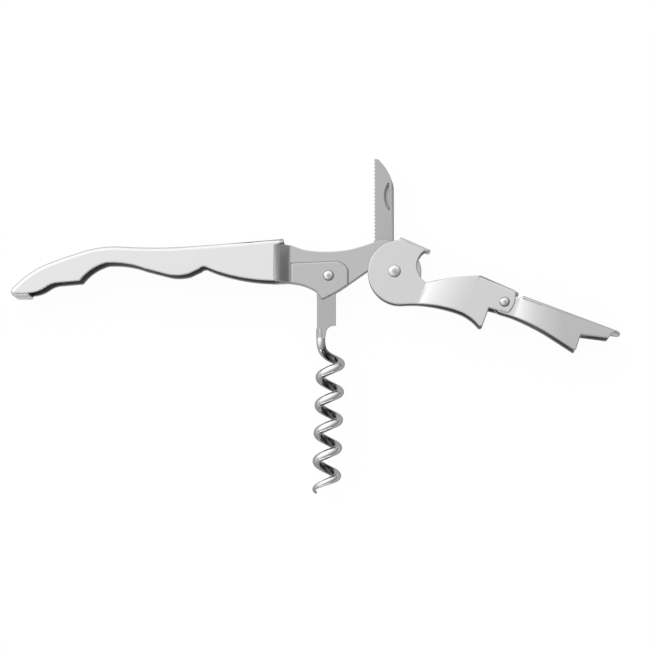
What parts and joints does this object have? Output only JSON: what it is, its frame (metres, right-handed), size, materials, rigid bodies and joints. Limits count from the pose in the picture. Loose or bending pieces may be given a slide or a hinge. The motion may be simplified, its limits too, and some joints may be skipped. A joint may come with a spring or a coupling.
{
  "type": "two-step lever corkscrew",
  "caption": "Folding steel lever corkscrew lying opened out: channel handle, two-step jointed lever with cap hook, serrated foil knife and open helical worm.",
  "frame": {"origin": "under the middle of the opened-out tool's box, on the plane it lies on", "axes": "+X from the handle's nose to the end of the lever, +Y from the worm to the knife, +Z along the rivets, away from the table"},
  "size_m": [0.1788, 0.0988, 0.012],
  "materials": {
    "handle_steel": "satin with bright cut edges",
    "lever_steel": "satin with bright cut edges",
    "knife_steel": "fine satin",
    "worm_chrome": "polished",
    "rivet_steel": "polished domes"
  },
  "bodies": {
    "handle": {"handle_frame": "handle_steel", "worm_rivet": "rivet_steel"},
    "first_stage": {"lever_first_stage": "lever_steel", "main_rivet": "rivet_steel", "hinge_rivet": "rivet_steel"},
    "second_stage": {"lever_second_stage": "lever_steel"},
    "knife": {"knife_blade": "knife_steel"},
    "worm": {"worm": "worm_chrome"}
  },
  "joints": [
    {"name": "lever_swing", "type": "hinge", "parent": "handle", "child": "first_stage", "pos_m": [0.02334, 0.01558, 0.006], "axis": [0, 0, 1], "range_deg": [-85, 0]},
    {"name": "second_stage_swing", "type": "hinge", "parent": "first_stage", "child": "second_stage", "pos_m": [0.05544, 0.00616, 0.006], "axis": [0, 0, 1], "range_deg": [-4, 26]},
    {"name": "knife_swing", "type": "hinge", "parent": "handle", "child": "knife", "pos_m": [0.02334, 0.01558, 0.006], "axis": [0, 0, 1], "range_deg": [-6, 63]},
    {"name": "worm_swing", "type": "hinge", "parent": "handle", "child": "worm", "pos_m": [0.00394, 0.01448, 0.006], "axis": [0, 0, 1], "range_deg": [-90, 0]}
  ]
}
